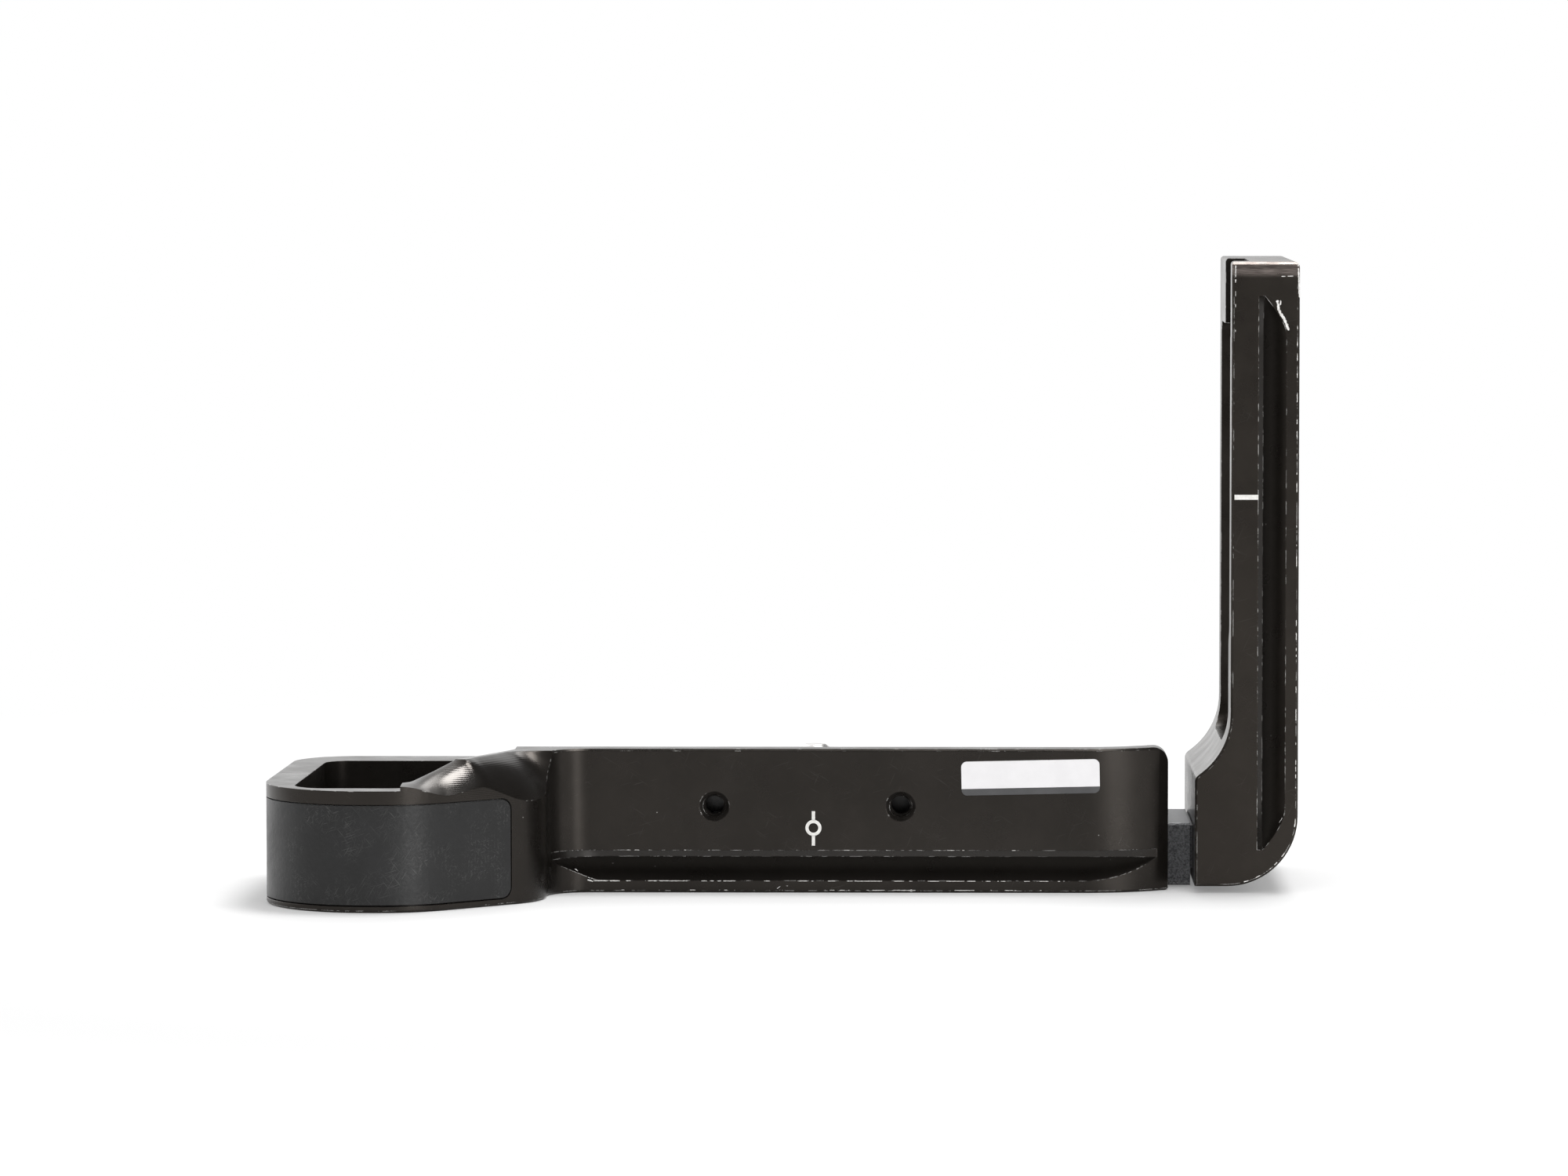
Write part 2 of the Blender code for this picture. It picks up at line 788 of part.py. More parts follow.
def build_bar(parts, tools, finish):
    """Make the sliding bar with its clamp slot and its tenon."""
    shoulder_x = foot_x - fit_gap
    top = bar_low + bar_height
    half = bar_width / 2
    edge = bar_edge_chamfer
    section = [
        (middle_y - half, bar_low + edge),
        (middle_y - half + edge, bar_low),
        (middle_y + half - edge, bar_low),
        (middle_y + half, bar_low + edge),
        (middle_y + half, top - edge),
        (middle_y + half - edge, top),
        (middle_y - half + edge, top),
        (middle_y - half, top - edge),
    ]
    tenon_x = shoulder_x + tenon_length
    bar = prism("slide_bar", section, bar_left_x, tenon_x, parts, "X")
    bar.data.materials.append(finish)

    room = overrun
    narrow = half - tenon_side_step
    frames = (
        ("tenon_front", (middle_y - half - room, middle_y - narrow), (bar_low - room, top + room)),
        ("tenon_rear", (middle_y + narrow, middle_y + half + room), (bar_low - room, top + room)),
        ("tenon_under", (middle_y - half - room, middle_y + half + room), (bar_low - room, tenon_low)),
        ("tenon_over", (middle_y - half - room, middle_y + half + room), (top - tenon_top_step, top + room)),
    )
    for name, (y_low, y_high), (z_low, z_high) in frames:
        outline = [(y_low, z_low), (y_high, z_low), (y_high, z_high), (y_low, z_high)]
        cut(bar, prism(name, outline, shoulder_x, tenon_x + room, tools, "X"))

    head_slot = slot_outline(slot_start_x, slot_end_x, clamp_head_radius + fit_gap)
    clamp_slot = slot_outline(slot_start_x, slot_end_x, clamp_radius + fit_gap)
    cut(bar, prism("head_slot", head_slot, bar_low - overrun, clamp_seat(), tools))
    cut(bar, prism("clamp_slot", clamp_slot, bar_low, top + overrun, tools))

    width = joint_screw_radius + fit_gap
    for side, y in joint_places():
        start = tenon_x - joint_screw_reach - fit_gap
        profile = [(width, start), (width, tenon_x + overrun)]
        cut(bar, turned(f"bar_hole_{side}", profile, (0, y, joint_height()), tools, "X"))


def build_upright(parts, tools, finish, steel):
    """Make the upright with its window, grooves and foot, and the screws that join it to the bar."""
    outline = rounded([
        (foot_x, upright_low, 0),
        (right_x, upright_low, outer_corner_radius),
        (right_x, upright_high, top_outer_radius),
        (inner_x, upright_high, top_inner_radius),
        (inner_x, foot_valley_height, foot_valley_radius),
        (foot_x, foot_corner_height, foot_corner_radius),
    ])
    upright = eased_prism("upright", outline, front_y, rear_y, parts, "Y")
    upright.data.materials.append(finish)

    window = rounded([
        (front_y + window_low_front, window_low, window_radius),
        (rear_y - window_back, window_low, window_back_radius),
        (rear_y - window_back, window_high, window_radius),
        (front_y + window_front, window_high, window_radius),
        (front_y + window_front, window_step_high, window_step_radius),
        (front_y + window_low_front, window_step_low, window_step_radius),
    ])
    cut(upright, prism("window", window, foot_x - overrun, right_x + overrun, tools, "X"))

    notch = [
        (front_y + lug_notch_front, window_high - overrun),
        (front_y + lug_notch_back, window_high - overrun),
        (front_y + lug_notch_back, upright_high + overrun),
        (front_y + lug_notch_front, upright_high + overrun),
    ]
    cut(upright, prism("lug_notch", notch, inner_x - overrun, inner_x + lug_notch_depth, tools, "X"))

    ends = (groove_low_z, groove_high_z)
    for tool in groove_tools("upright_groove", "Z", *ends, upright_lip, upright_groove_top, tools, ends):
        cut(upright, tool)

    for name, y, outward in (("top_front", front_y, -1), ("top_rear", rear_y, 1)):
        cut(upright, edge_round(name, (y, upright_high), top_edge_radius, (outward, 1),
                                inner_x - overrun, right_x + overrun, "X", tools))

    width = bar_width / 2 - tenon_side_step + fit_gap
    pocket_low = tenon_low - fit_gap
    pocket_high = bar_low + bar_height - tenon_top_step + fit_gap
    pocket = [
        (middle_y - width, pocket_low),
        (middle_y + width, pocket_low),
        (middle_y + width, pocket_high),
        (middle_y - width, pocket_high),
    ]
    cut(upright, prism("tenon_pocket", pocket, foot_x - overrun, foot_x + tenon_length, tools, "X"))

    seat_x = joint_seat_x()
    for side, y in joint_places():
        hole = joint_screw_radius + fit_gap
        wide = joint_head_radius + fit_gap
        profile = [(hole, foot_x), (hole, seat_x), (wide, seat_x), (wide, right_x + overrun)]
        center = (0, y, joint_height())
        cut(upright, turned(f"joint_hole_{side}", profile, center, tools, "X"))

        head_x = seat_x + fit_gap
        tip_x = foot_x - fit_gap + tenon_length - joint_screw_reach
        profile = [
            (joint_screw_radius - fit_gap, tip_x),
            (joint_screw_radius, tip_x + fit_gap),
            (joint_screw_radius, head_x),
            (joint_head_radius, head_x),
            (joint_head_radius, head_x + joint_head_height - fit_gap),
            (joint_head_radius - fit_gap, head_x + joint_head_height),
        ]
        screw = turned(f"joint_screw_{side}", profile, center, parts, "X")
        screw.data.materials.append(steel)
        high = head_x + joint_head_height
        socket(screw, (y, joint_height()), joint_key_width, high - joint_key_depth,
               high + overrun, "X", tools)


def build_pad(parts, rubber):
    """Make the rubber pad that lies flush in the outside of the loop."""
    start, end = pad_span()
    pad = wall_strip("grip_pad", start, end, 0, pad_thickness, pad_low, pad_high,
                     pad_corner_radius, parts)
    pad.data.materials.append(rubber)


def main():
    """Build the whole bracket."""
    for item in list(bpy.data.objects):
        bpy.data.objects.remove(item)
    parts = make_collection("camera_l_bracket")
    tools = make_collection("cutters")
    anodised = make_material("anodised_aluminium", (0.032, 0.027, 0.023), 0.38, 0.6)
    blasted = make_material("blasted_aluminium", (0.062, 0.064, 0.070), 0.62, 0.5)
    steel = make_material("plated_steel", (0.56, 0.55, 0.53), 0.28, 1.0)
    nylon = make_material("nylon", (0.03, 0.03, 0.03), 0.55, 0.0)
    rubber = make_material("grip_rubber", (0.045, 0.045, 0.047), 0.68, 0.0)
    build_base(parts, tools, anodised)
    build_pad(parts, rubber)
    build_camera_screw(parts, tools, steel, nylon)
    build_clamps(parts, tools, steel)
    build_bar(parts, tools, blasted)
    build_upright(parts, tools, anodised, steel)
    for tool in tools.objects:
        tool.hide_render = True
        tool.display_type = "WIRE"


main()
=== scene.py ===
"""Looks of the camera L-bracket: finishes, label, marks, threads, wear, floor, light and camera.

The pieces made here are drawn in millimetres, and new_piece turns them into metres. Lengths in
the finishes, the floor, the lamps and the camera are in metres.
"""
import math
import random

import bmesh
import bpy
from mathutils import Matrix, Vector


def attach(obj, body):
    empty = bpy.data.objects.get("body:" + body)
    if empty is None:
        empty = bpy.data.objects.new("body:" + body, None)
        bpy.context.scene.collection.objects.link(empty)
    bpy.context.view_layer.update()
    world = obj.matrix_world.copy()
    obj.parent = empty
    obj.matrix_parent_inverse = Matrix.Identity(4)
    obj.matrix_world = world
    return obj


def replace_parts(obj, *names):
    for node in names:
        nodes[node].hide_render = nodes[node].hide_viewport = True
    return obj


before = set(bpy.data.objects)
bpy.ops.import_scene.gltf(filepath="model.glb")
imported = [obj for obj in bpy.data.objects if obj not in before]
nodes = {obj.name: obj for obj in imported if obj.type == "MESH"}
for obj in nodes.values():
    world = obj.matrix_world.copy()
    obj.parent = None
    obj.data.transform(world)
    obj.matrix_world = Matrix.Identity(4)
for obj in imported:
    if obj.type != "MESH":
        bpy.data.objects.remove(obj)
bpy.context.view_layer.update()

MM = 0.001
# Places of the CAD part in millimetres: its front face, the lens axis and the camera screw's axis
FRONT_Y = -5.95
AXIS_X = 4.05
SCREW_Y = 13.05
# How high marks and flakes stand over the front face, and where marks start, just inside it
LIFT = 0.02
SUNK = -0.01


# Node trees

class Tree:
    """Adds nodes to a node tree. A socket's value is a constant or another node's output."""

    def __init__(self, tree):
        self.tree = tree

    def add(self, kind, values, out=0, **settings):
        node = self.tree.nodes.new("ShaderNode" + kind)
        for key, value in settings.items():
            setattr(node, key, value)
        for key, value in values.items():
            if isinstance(value, bpy.types.NodeSocket):
                self.tree.links.new(value, node.inputs[key])
            else:
                node.inputs[key].default_value = value
        return node.outputs[out]

    def place(self):
        return self.add("TexCoord", {}, out="Object")

    def stretched(self, where, size, turn):
        """Coordinates turned about Y, then counted in units of that size."""
        values = {"Vector": where, "Scale": size, "Rotation": (0, turn, 0)}
        return self.add("Mapping", values, vector_type="TEXTURE")

    def noise(self, where, scale, detail=2.0, rough=0.5):
        values = {"Vector": where, "Scale": scale, "Detail": detail, "Roughness": rough}
        return self.add("TexNoise", values)

    def band(self, value, start, end, low=0.0, high=1.0):
        """Goes smoothly from low to high while the value goes from start to end."""
        values = {"Value": value, "From Min": start, "From Max": end, "To Min": low, "To Max": high}
        return self.add("MapRange", values, interpolation_type="SMOOTHSTEP")

    def math(self, operation, a, b):
        return self.add("Math", {0: a, 1: b}, operation=operation)

    def times(self, a, b):
        return self.math("MULTIPLY", a, b)

    def larger(self, a, b):
        return self.math("MAXIMUM", a, b)

    def coordinate(self, vector, axis):
        return self.add("SeparateXYZ", {"Vector": vector}, out=axis)

    def mesh_normal(self):
        return self.add("NewGeometry", {}, out="Normal")

    def mix(self, factor, a, b):
        return self.add("Mix", {0: factor, 6: a, 7: b}, out=2, data_type="RGBA")

    def near(self, where, centre, radii):
        """1 in the middle of an ellipsoid, falling to 0 at its skin."""
        offset = self.add("VectorMath", {0: where, 1: centre}, operation="SUBTRACT")
        ratio = self.add("VectorMath", {0: offset, 1: radii}, operation="DIVIDE")
        away = self.add("VectorMath", {0: ratio}, out="Value", operation="LENGTH")
        return self.band(away, 1.0, 0.6)

    def specks(self, where, scale, size, share):
        """Small dots in a share of the cells of a grid."""
        values = {"Vector": where, "Scale": scale}
        dot = self.band(self.add("TexVoronoi", values, out="Distance"), size, size * 0.5)
        cell = self.add("TexVoronoi", values, out="Color")
        return self.times(dot, self.band(cell, 1 - share, 1.001 - share))

    def strokes(self, where, width, length, turns, low, high):
        """Short straight scratches in some directions, in patches."""
        found = None
        for turn in turns:
            along = self.stretched(where, (width, width * 3, length), turn)
            lines = self.band(self.noise(along, 1.0, 0.0), low, high)
            found = lines if found is None else self.larger(found, lines)
        patches = self.band(self.noise(where, 210.0, 3.0), 0.42, 0.62)
        return self.times(found, patches)

    def rounded(self, radius):
        """Normal with every edge softened by that radius."""
        return self.add("Bevel", {"Radius": radius}, samples=4)

    def openness(self, distance):
        """1 where nothing of the same object is near, and less in its hollows."""
        values = {"Distance": distance}
        return self.add("AmbientOcclusion", values, out="AO", samples=4, only_local=True)

    def outer_edges(self, soft):
        """1 where the softened normal leaves the mesh's own normal on an outer edge."""
        values = {0: soft, 1: self.mesh_normal()}
        along = self.add("VectorMath", values, out="Value", operation="DOT_PRODUCT")
        outer = self.band(self.openness(0.0006), 0.42, 0.6)
        return self.times(self.band(along, 0.99, 0.86), outer)

    def bump(self, height, distance, normal):
        values = {"Height": height, "Distance": distance, "Normal": normal}
        return self.add("Bump", values)


def new_material(name, **values):
    """Material with its own Principled BSDF. The values go on the shader's sockets."""
    material = bpy.data.materials.new(name)
    material.use_nodes = True
    shader = material.node_tree.nodes["Principled BSDF"]
    for key, value in values.items():
        shader.inputs[key.replace("_", " ")].default_value = value
    return material, shader, Tree(material.node_tree)


def connect(material, shader, **outputs):
    for key, output in outputs.items():
        material.node_tree.links.new(output, shader.inputs[key.replace("_", " ")])


# Finishes

EDGE_RADIUS = 0.00016
SCRATCH_WIDTH = 0.00012


def dust_and_rubs(t, where, hollow):
    """Dust specks, more of them in the hollows, and faint scratches."""
    dust = t.larger(t.specks(where, 170.0, 0.02, 0.2), t.specks(where, 1200.0, 0.12, 0.06))
    grit = t.times(t.specks(where, 330.0, 0.05, 0.45), hollow)
    rubs = t.strokes(where, SCRATCH_WIDTH, 0.0030, (0.4, -1.0, 1.3), 0.76, 0.86)
    return t.larger(t.larger(dust, t.times(grit, 0.6)), t.times(rubs, 0.045))


def painted_nose_highlight(t, where):
    """Painted highlight: a paler colour on the slope at the nose of the plate's swoop."""
    steep = t.coordinate(t.mesh_normal(), "Z")
    slope = t.times(t.band(steep, 0.25, 0.4), t.band(steep, 0.97, 0.9))
    nose = t.near(where, (-0.0480, -0.0268, 0.0183), (0.0072, 0.0072, 0.0034))
    return t.times(t.times(nose, slope), 0.14)


def painted_top_sheen(t, where):
    """Painted sheen: an uneven paler band along the front of the upright's top."""
    along = t.noise(t.stretched(where, (0.002, 0.002, 0.00016), 0.0), 1.0)
    sheen_place = t.near(where, (0.0688, -0.0060, 0.0905), (0.0300, 0.0020, 0.0025))
    return t.times(sheen_place, t.band(along, 0.3, 0.7, 0.3, 0.75))


def bare_edges(t, where, soft, wear):
    """Dashes of bare metal along the outer edges, with more of them low down."""
    low_down = t.band(t.coordinate(where, "Z"), 0.008, 0.0065, 0.0, 0.07)
    spread = t.math("ADD", t.noise(where, 650.0, 5.0, 0.65), low_down)
    dashes = t.band(spread, 0.62 - wear, 0.7 - wear)
    groups = t.band(t.noise(where, 130.0, 3.0), 0.36, 0.52)
    return t.times(t.outer_edges(soft), t.times(dashes, groups))


def off_the_seam(t, where):
    """0 along the seam of the plate's pad, where the edges stay black, and 1 elsewhere."""
    height = t.coordinate(where, "Z")
    rims = t.larger(t.band(height, 0.0008, 0.0006), t.band(height, 0.0154, 0.0157))
    return t.larger(rims, t.band(t.coordinate(where, "X"), -0.0376, -0.0368))


def milled_nose(t, where, soft, gloss):
    """Fine lines that the cutter left round the nose of the swoop, where it is also glossier."""
    lines = t.add("TexWave", {"Vector": where, "Scale": 1250.0, "Distortion": 0.6},
                  out="Fac", bands_direction="Z")
    region = t.near(where, (-0.0425, -0.0170, 0.0178), (0.0115, 0.0145, 0.0050))
    lined = t.bump(t.times(lines, region), 0.000006, soft)
    return lined, t.times(gloss, t.band(region, 0.0, 1.0, 1.0, 0.62))


def anodised(name, low, high, wear, swoop):
    """Black anodised aluminium, a little brown, with edges worn to bare metal and dusty hollows.

    With a swoop it is the plate's, with milling lines, a painted highlight at the swoop's nose and
    no wear along the pad's seam. Without one it is the upright's, with a painted sheen along its top.
    """
    # The paler brown paints a sheen along the upright's top.
    hollow_colour, top_sheen_colour = (0.031, 0.028, 0.025, 1), (0.33, 0.28, 0.257, 1)
    # The dust grey also paints a highlight at the swoop's nose.
    dust_and_highlight_colour, bare_colour = (0.33, 0.32, 0.31, 1), (0.88, 0.87, 0.85, 1)
    material, shader, t = new_material(name)
    where = t.place()
    soft = t.rounded(EDGE_RADIUS)
    mottle = t.band(t.noise(where, 90.0, 4.0, 0.6), 0.3, 0.7)
    hollow = t.band(t.openness(0.004), 0.72, 0.42)
    colour = t.mix(hollow, t.mix(mottle, low, high), hollow_colour)
    marks = dust_and_rubs(t, where, hollow)
    bare = bare_edges(t, where, soft, wear)
    gloss = t.band(t.noise(where, 260.0, 4.0), 0.25, 0.75, 0.26, 0.34)
    if swoop:
        # Painted highlight at the swoop's nose, in the dust grey.
        marks = t.larger(marks, painted_nose_highlight(t, where))
        bare = t.times(bare, off_the_seam(t, where))
        soft, gloss = milled_nose(t, where, soft, gloss)
    else:
        # Painted sheen along the front of the upright's top.
        colour = t.mix(painted_top_sheen(t, where), colour, top_sheen_colour)
    colour = t.mix(bare, t.mix(marks, colour, dust_and_highlight_colour), bare_colour)
    grain = t.math("ADD", t.noise(where, 7000.0, 2.0, 0.6),
                   t.times(t.noise(where, 900.0, 3.0), 0.6))
    connect(material, shader, Base_Color=colour, Normal=t.bump(grain, 0.000003, soft),
            Roughness=t.larger(gloss, t.times(bare, 0.5)),
            Metallic=t.times(t.band(bare, 0.0, 1.0, 0.8, 0.4),
                             t.band(hollow, 0.0, 1.0, 1.0, 0.2)))
    return material


def blasted():
    """Bead-blasted grey-black aluminium, with a fine speckle."""
    dark, light, bare_colour = (0.040, 0.041, 0.043, 1), (0.21, 0.212, 0.22, 1), (0.6, 0.6, 0.6, 1)
    material, shader, t = new_material("blasted_finish", Metallic=0.9)
    where = t.place()
    soft = t.rounded(EDGE_RADIUS)
    speckle = t.band(t.noise(where, 3800.0, 3.0, 0.75), 0.34, 0.66)
    bare = t.times(t.outer_edges(soft), t.band(t.noise(where, 500.0, 4.0), 0.5, 0.62))
    colour = t.mix(bare, t.mix(speckle, dark, light), bare_colour)
    normal = t.bump(t.noise(where, 4200.0, 4.0, 0.7), 0.000025, soft)
    gloss = t.band(speckle, 0.0, 1.0, 0.36, 0.5)
    connect(material, shader, Base_Color=colour, Roughness=gloss, Normal=normal)
    return material


def rubber():
    """Grip rubber with a leather-like grain, scuffed by handling."""
    dark, light = (0.006, 0.006, 0.006, 1), (0.011, 0.011, 0.0115, 1)
    scratched = (0.15, 0.15, 0.145, 1)
    material, shader, t = new_material("rubber_finish", IOR=1.45, Sheen_Weight=0.12,
                                       Sheen_Roughness=0.3)
    where = t.place()
    soft = t.rounded(0.00012)
    patches = t.band(t.noise(where, 150.0, 5.0, 0.65), 0.3, 0.7)
    long_lines = t.strokes(where, SCRATCH_WIDTH, 0.0036, (0.55, -0.7, 1.25), 0.7, 0.82)
    short_lines = t.strokes(where, SCRATCH_WIDTH, 0.001, (0.2, 0.95, -0.35, -1.2), 0.66, 0.8)
    scuff_place = t.near(where, (-0.0432, -0.0180, 0.0115), (0.0022, 0.0060, 0.0016))
    scuff = t.times(scuff_place, t.band(t.noise(where, 1500.0, 4.0), 0.5, 0.6))
    marks = t.larger(long_lines, t.times(short_lines, 0.4))
    marks = t.larger(t.times(marks, 0.24), scuff)
    marks = t.larger(marks, t.specks(where, 260.0, 0.03, 0.05))
    colour = t.mix(marks, t.mix(patches, dark, light), scratched)
    pores = t.add("TexVoronoi", {"Vector": where, "Scale": 1700.0}, feature="SMOOTH_F1")
    height = t.math("ADD", pores, t.times(t.noise(where, 3500.0, 3.0), 0.5))
    normal = t.bump(height, 0.00002, soft)
    gloss = t.band(patches, 0.0, 1.0, 0.38, 0.5)
    connect(material, shader, Base_Color=colour, Roughness=gloss, Normal=normal)
    return material


def metal(name, low, high, share, rough, scale):
    """Bright metal, a little uneven. A share below 1 is for a rough break that scatters light."""
    material, shader, t = new_material(name, Metallic=share)
    where = t.place()
    blotches = t.band(t.noise(where, scale, 4.0, 0.6), 0.3, 0.7)
    colour = t.mix(blotches, low, high)
    normal = t.bump(t.noise(where, scale * 6, 3.0), 0.00001, t.mesh_normal())
    gloss = t.band(blotches, 0.0, 1.0, rough, rough + 0.14)
    connect(material, shader, Base_Color=colour, Roughness=gloss, Normal=normal)
    return material


def smooth(name, low, high, rough, scale, depth):
    """Plastic, film or paint: an even colour with slight clouds and a soft, fine surface."""
    material, shader, t = new_material(name)
    where = t.place()
    clouds = t.band(t.noise(where, scale, 4.0, 0.6), 0.3, 0.7)
    colour = t.mix(clouds, low, high)
    normal = t.bump(t.noise(where, scale * 8, 3.0), depth, t.mesh_normal())
    gloss = t.band(clouds, 0.0, 1.0, rough, rough + 0.1)
    connect(material, shader, Base_Color=colour, Roughness=gloss, Normal=normal)
    return material


# CAD nodes

def smoothing_group():
    """Geometry nodes that shade faces smooth and keep edges sharp beyond an angle."""
    sharpest = math.radians(28)
    group = bpy.data.node_groups.new("smooth_by_angle", "GeometryNodeTree")
    for side in ("INPUT", "OUTPUT"):
        group.interface.new_socket("Geometry", in_out=side, socket_type="NodeSocketGeometry")
    enter = group.nodes.new("NodeGroupInput")
    leave = group.nodes.new("NodeGroupOutput")
    faces = group.nodes.new("GeometryNodeSetShadeSmooth")
    edges = group.nodes.new("GeometryNodeSetShadeSmooth")
    edges.domain = "EDGE"
    angle = group.nodes.new("GeometryNodeInputMeshEdgeAngle")
    gentle = group.nodes.new("FunctionNodeCompare")
    gentle.operation = "LESS_THAN"
    gentle.inputs[1].default_value = sharpest
    group.links.new(angle.outputs["Unsigned Angle"], gentle.inputs[0])
    group.links.new(enter.outputs[0], faces.inputs["Geometry"])
    group.links.new(faces.outputs[0], edges.inputs["Geometry"])
    group.links.new(gentle.outputs[0], edges.inputs["Shade Smooth"])
    group.links.new(edges.outputs[0], leave.inputs[0])
    return group


def dress(node, material, group):
    """Give a CAD node its material and smooth shading. Its mesh stays as it is."""
    node.material_slots[0].material = material
    weld = node.modifiers.new("weld", "WELD")
    weld.merge_threshold = MM / 1000
    node.modifiers.new("smooth", "NODES").node_group = group
    weighted = node.modifiers.new("weighted", "WEIGHTED_NORMAL")
    weighted.keep_sharp = True


# Own pieces

def new_piece(name, bm, materials, body):
    """Make an object of the mesh, in millimetres, and let it ride on a body."""
    bmesh.ops.scale(bm, vec=(MM, MM, MM), verts=bm.verts)
    bmesh.ops.recalc_face_normals(bm, faces=bm.faces)
    mesh = bpy.data.meshes.new(name)
    bm.to_mesh(mesh)
    bm.free()
    for material in materials:
        mesh.materials.append(material)
    piece = bpy.data.objects.new(name, mesh)
    bpy.context.scene.collection.objects.link(piece)
    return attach(piece, body)


def solid_between(bm, loops, slot=0, closed=True):
    """Join rings of points into one skin, and close its ends or join the last to the first."""
    rings = [[bm.verts.new(point) for point in loop] for loop in loops]
    count = len(rings[0])
    pairs = list(zip(rings, rings[1:])) if closed else list(zip(rings, rings[1:] + rings[:1]))
    made = []
    for ring, other in pairs:
        for i in range(count):
            j = (i + 1) % count
            made.append(bm.faces.new((ring[i], ring[j], other[j], other[i])))
    if closed:
        made += [bm.faces.new(rings[0]), bm.faces.new(rings[-1])]
    for face in made:
        face.material_index = slot
    return made


def on_front(points, lift):
    """Points of a front view at that height over the front face."""
    return [(x, FRONT_Y - lift, z) for x, z in points]


def box_outline(left, right, low, high):
    return [(left, low), (right, low), (right, high), (left, high)]


def round_outline(width, low, high, radii, steps=8):
    """Outline of a plate: width across, from low to high, with a radius for each corner."""
    half = width / 2
    corners = ((half, low, -90), (half, high, 0), (-half, high, 90), (-half, low, 180))
    points = []
    for (x, z, start), radius in zip(corners, radii):
        if not radius:
            points.append((x, z))
            continue
        centre_x = x - math.copysign(radius, x)
        centre_z = z + radius if z == low else z - radius
        for i in range(steps + 1):
            a = math.radians(start + 90 * i / steps)
            points.append((centre_x + radius * math.cos(a), centre_z + radius * math.sin(a)))
    return points


def add_label(film, band):
    """The sticker on the front face. It is bare, with the dark band along its lower edge."""
    width, height, band_height, corner, thickness, rim = 19.8, 4.9, 0.95, 0.83, 0.12, 0.05
    seam = 0.02
    tilt = math.radians(1.2)
    centre_x, centre_z = 35.12, 16.65

    def placed(outline, lift, inward):
        share_x, share_z = 1 - 2 * inward / width, 1 - 2 * inward / height
        turned = []
        for x, z in outline:
            x, z = x * share_x, z * share_z
            turned.append((centre_x + x * math.cos(tilt) - z * math.sin(tilt),
                           centre_z + x * math.sin(tilt) + z * math.cos(tilt)))
        return on_front(turned, lift)

    split = -height / 2 + band_height
    bm = bmesh.new()
    for slot, (low, high, radii) in enumerate((
            (split, height / 2, (0, corner, corner, 0)),
            (-height / 2, split - seam, (corner, 0, 0, corner)))):
        outline = round_outline(width, low, high, radii)
        solid_between(bm, [placed(outline, SUNK, 0), placed(outline, thickness - rim, 0),
                           placed(outline, thickness, rim)], slot)
    return new_piece("label", bm, [film, band], "base")


def add_axis_mark(paint):
    """The mark of the lens axis: a ring with a line above and below it."""
    outer, inner, centre_z, sides = 1.15, 0.695, 9.35, 48
    half_width, low_end, high_end, overlap = 0.235, 6.8, 11.75, 0.06
    bm = bmesh.new()
    circles = []
    for radius, height in ((outer, SUNK), (outer, LIFT), (inner, LIFT), (inner, SUNK)):
        turns = [2 * math.pi * i / sides for i in range(sides)]
        circle = [(AXIS_X + radius * math.cos(a), centre_z + radius * math.sin(a)) for a in turns]
        circles.append(on_front(circle, height))
    solid_between(bm, circles, closed=False)
    left, right = AXIS_X - half_width, AXIS_X + half_width
    for low, high in ((low_end, centre_z - outer + overlap), (centre_z + outer - overlap, high_end)):
        box = box_outline(left, right, low, high)
        solid_between(bm, [on_front(box, SUNK), on_front(box, LIFT)])
    return new_piece("axis_mark", bm, [paint], "base")


def add_index_mark(paint):
    """The short line on the upright's front that marks the lens axis there."""
    box = box_outline(left=64.15, right=67.55, low=56.45, high=57.15)
    bm = bmesh.new()
    solid_between(bm, [on_front(box, SUNK), on_front(box, LIFT)])
    return new_piece("index_mark", bm, [paint], "arm")


def add_hole_threads(finish):
    """Thread ridges in the two tapped holes of the front face."""
    pitch, steps, turns, radius, crest, half_ridge = 0.7, 24, 9, 1.68, 1.36, 0.3
    height, depth = 12.45, 0.75
    bm = bmesh.new()
    for centre_x in (-10.15, 16.55):
        sections = []
        for i in range(steps * turns + 1):
            a = 2 * math.pi * i / steps
            y = FRONT_Y + depth + pitch * i / steps
            inward = crest + (radius - crest) * max(0.0, 1 - i / steps, i / steps - turns + 1)
            profile = ((radius, -half_ridge), (inward, 0.0), (radius, half_ridge))
            sections.append([(centre_x + r * math.cos(a), y + shift, height + r * math.sin(a))
                             for r, shift in profile])
        solid_between(bm, sections)
    return new_piece("hole_threads", bm, [finish], "base")


